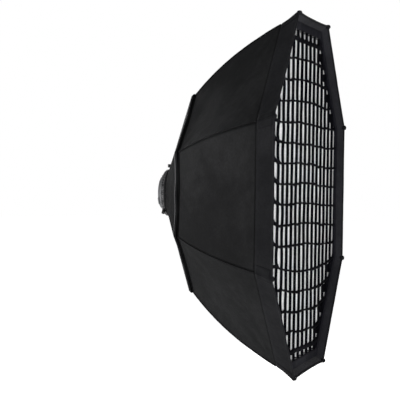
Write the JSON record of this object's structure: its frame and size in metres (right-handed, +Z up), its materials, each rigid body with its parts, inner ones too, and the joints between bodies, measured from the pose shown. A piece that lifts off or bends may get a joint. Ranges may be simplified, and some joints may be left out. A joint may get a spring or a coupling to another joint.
{
  "type": "octabox",
  "caption": "Octagonal fabric softbox on a sprung rod frame with a bayonet speed ring, inner baffle, front diffuser and fabric grid.",
  "frame": {"origin": "on the optical axis, at the face of the bayonet insert's flange that seats on the lamp", "axes": "+X along the optical axis, out of the front; +Z up; Y across, completing a right-handed frame"},
  "size_m": [0.4963, 1.1112, 1.1112],
  "materials": {
    "insert_metal": "satin machined",
    "steel_hardware": "zinc plated",
    "nylon": "natural nylon",
    "ring_metal": "black, fine texture",
    "knob_plastic": "black moulded",
    "frame_steel": "drawn tube",
    "rod_steel": "spring steel",
    "knuckle_metal": "black",
    "cap_vinyl": "dipped vinyl",
    "shell_fabric": "black outside, silver inside",
    "piping": "black",
    "lip_fabric": "black",
    "loop_tape": "black loop pile",
    "webbing": "black webbing",
    "cover_fabric": "black",
    "elastic": "black elastic",
    "baffle_fabric": "white translucent",
    "snap_metal": "nickel",
    "diffuser_fabric": "white translucent",
    "hook_tape": "white hook tape",
    "grid_fabric": "black",
    "grid_border_fabric": "black"
  },
  "bodies": {
    "mount": {"bayonet_insert": "insert_metal", "retaining_ring": "insert_metal", "retaining_screws": "steel_hardware", "glide_washer": "nylon"},
    "softbox": {"speed_ring": "ring_metal", "frame_arm_1": "frame_steel", "frame_arm_2": "frame_steel", "frame_arm_3": "frame_steel", "frame_arm_4": "frame_steel", "frame_arm_5": "frame_steel", "frame_arm_6": "frame_steel", "frame_arm_7": "frame_steel", "frame_arm_8": "frame_steel", "spring_rod_1": "rod_steel", "spring_rod_2": "rod_steel", "spring_rod_3": "rod_steel", "spring_rod_4": "rod_steel", "spring_rod_5": "rod_steel", "spring_rod_6": "rod_steel", "spring_rod_7": "rod_steel", "spring_rod_8": "rod_steel", "rod_knuckles": "knuckle_metal", "rod_caps": "cap_vinyl", "rod_loops": "webbing", "shell_panel_1": "shell_fabric", "shell_panel_2": "shell_fabric", "shell_panel_3": "shell_fabric", "shell_panel_4": "shell_fabric", "shell_panel_5": "shell_fabric", "shell_panel_6": "shell_fabric", "shell_panel_7": "shell_fabric", "shell_panel_8": "shell_fabric", "shell_rear_hem": "shell_fabric", "seam_piping": "piping", "front_lip": "lip_fabric", "lip_loop_tape": "loop_tape", "corner_patches": "webbing", "rear_cover": "cover_fabric", "rear_cover_hem": "cover_fabric", "cover_collar": "elastic", "cover_loops": "elastic"},
    "clamp_1": {"clamp_screw_1": "steel_hardware", "clamp_knob_1": "knob_plastic"},
    "clamp_2": {"clamp_screw_2": "steel_hardware", "clamp_knob_2": "knob_plastic"},
    "clamp_3": {"clamp_screw_3": "steel_hardware", "clamp_knob_3": "knob_plastic"},
    "baffle": {"inner_baffle": "baffle_fabric", "baffle_hem": "baffle_fabric", "baffle_straps": "elastic", "baffle_snaps": "snap_metal"},
    "diffuser": {"front_diffuser": "diffuser_fabric", "diffuser_hem": "hook_tape"},
    "grid": {"grid_lattice": "grid_fabric", "grid_border": "grid_border_fabric"}
  },
  "joints": [
    {"name": "ring_turn", "type": "hinge", "parent": "mount", "child": "softbox", "pos_m": [0.0145, 0, 0], "axis": [1, 0, 0], "continuous": true},
    {"name": "clamp_1_turn", "type": "hinge", "parent": "softbox", "child": "clamp_1", "pos_m": [0.0095, 0, 0.086], "axis": [0, 0, 1], "range_deg": [0, 1080]},
    {"name": "clamp_2_turn", "type": "hinge", "parent": "softbox", "child": "clamp_2", "pos_m": [0.0095, -0.06081, -0.06081], "axis": [0, -0.7071, -0.7071], "range_deg": [0, 1080]},
    {"name": "clamp_3_turn", "type": "hinge", "parent": "softbox", "child": "clamp_3", "pos_m": [0.0095, 0.06081, -0.06081], "axis": [0, 0.7071, -0.7071], "range_deg": [0, 1080]},
    {"name": "baffle_out", "type": "slide", "parent": "softbox", "child": "baffle", "axis": [1, 0, 0], "range_m": [0, 0.4]},
    {"name": "diffuser_off", "type": "slide", "parent": "baffle", "child": "diffuser", "axis": [1, 0, 0], "range_m": [0, 0.25]},
    {"name": "grid_off", "type": "slide", "parent": "diffuser", "child": "grid", "axis": [1, 0, 0], "range_m": [0, 0.25]}
  ]
}
